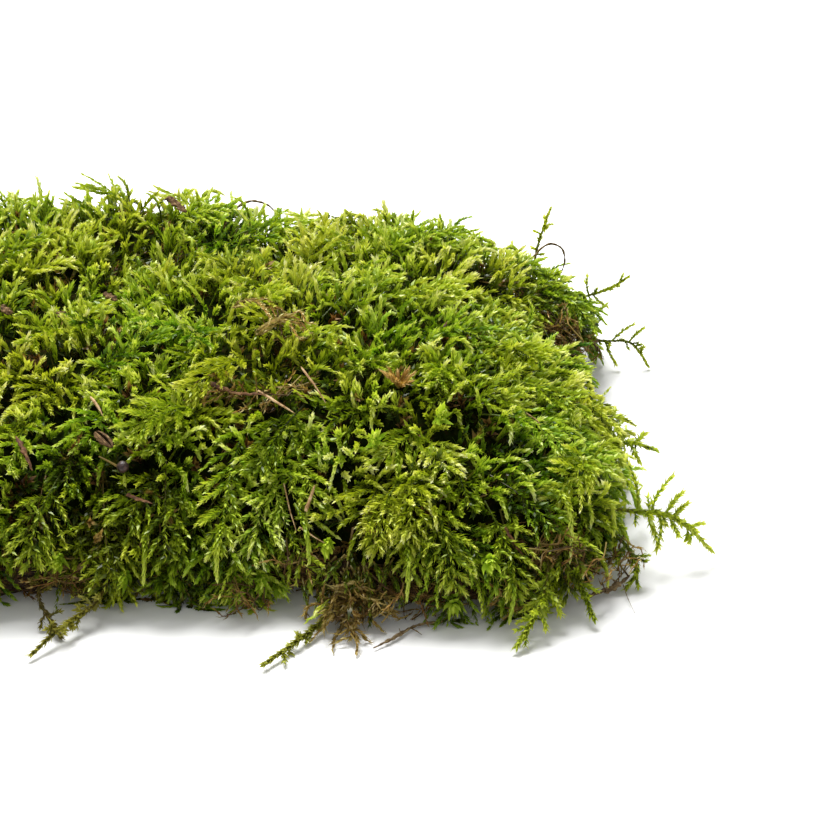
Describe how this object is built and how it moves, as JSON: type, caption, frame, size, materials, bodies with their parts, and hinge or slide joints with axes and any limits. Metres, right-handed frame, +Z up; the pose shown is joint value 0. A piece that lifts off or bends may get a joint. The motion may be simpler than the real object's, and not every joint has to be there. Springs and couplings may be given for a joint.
{
  "type": "moss clump",
  "caption": "Flat clump of feather moss on a brown layer of dead stems, with leafy shoots trailing over its edge and dry grass, twigs and bark lying in it.",
  "frame": {"origin": "middle of the flat underside, on the surface that the clump rests on", "axes": "+X along the clump's length, +Y to its back, +Z up"},
  "size_m": [0.2692, 0.2072, 0.049],
  "materials": {
    "living_moss": "matte",
    "litter": "matte",
    "dead_stems": "matte",
    "dry_grass": "satin",
    "dead_leaf": "matte",
    "bark": "matte",
    "twig": "matte",
    "seed": "satin",
    "bud": "matte"
  },
  "bodies": {
    "root": {"arched_twig": "twig", "bark_behind": "bark", "bark_far_left": "bark", "bark_left": "bark", "bark_middle": "bark", "bark_rear": "bark", "bud_red": "bud", "bud_tan": "bud", "dead_frond_front": "dead_stems", "dead_frond_rear": "dead_stems", "dead_tuft_front": "dead_stems", "dry_tuft": "dead_stems", "grass_far_left": "dry_grass", "grass_front": "dry_grass", "grass_left": "dry_grass", "grass_long": "dry_grass", "grass_middle": "dry_grass", "grass_rear": "dry_grass", "grass_red": "dry_grass", "grass_right": "dry_grass", "husk": "bark", "leaf_strip_far_left": "dead_leaf", "leaf_strip_front": "dead_leaf", "leaf_strip_left": "dead_leaf", "leaf_strip_rear": "dead_leaf", "leaf_strip_right": "dead_leaf", "litter_layer": "litter", "moss_mat": "living_moss", "seed": "seed", "shoot_back": "living_moss", "shoot_back_left": "living_moss", "shoot_back_right": "living_moss", "shoot_back_right_high": "living_moss", "shoot_front_centre": "living_moss", "shoot_front_corner": "living_moss", "shoot_front_left": "living_moss", "shoot_front_right": "living_moss", "shoot_left": "living_moss", "shoot_rear": "living_moss", "shoot_right": "living_moss", "shoot_right_high": "living_moss", "shoot_right_low": "living_moss", "stem_front_left": "living_moss", "twig_front": "twig", "wiry_loop": "twig", "wood_bit": "twig"}
  },
  "joints": []
}
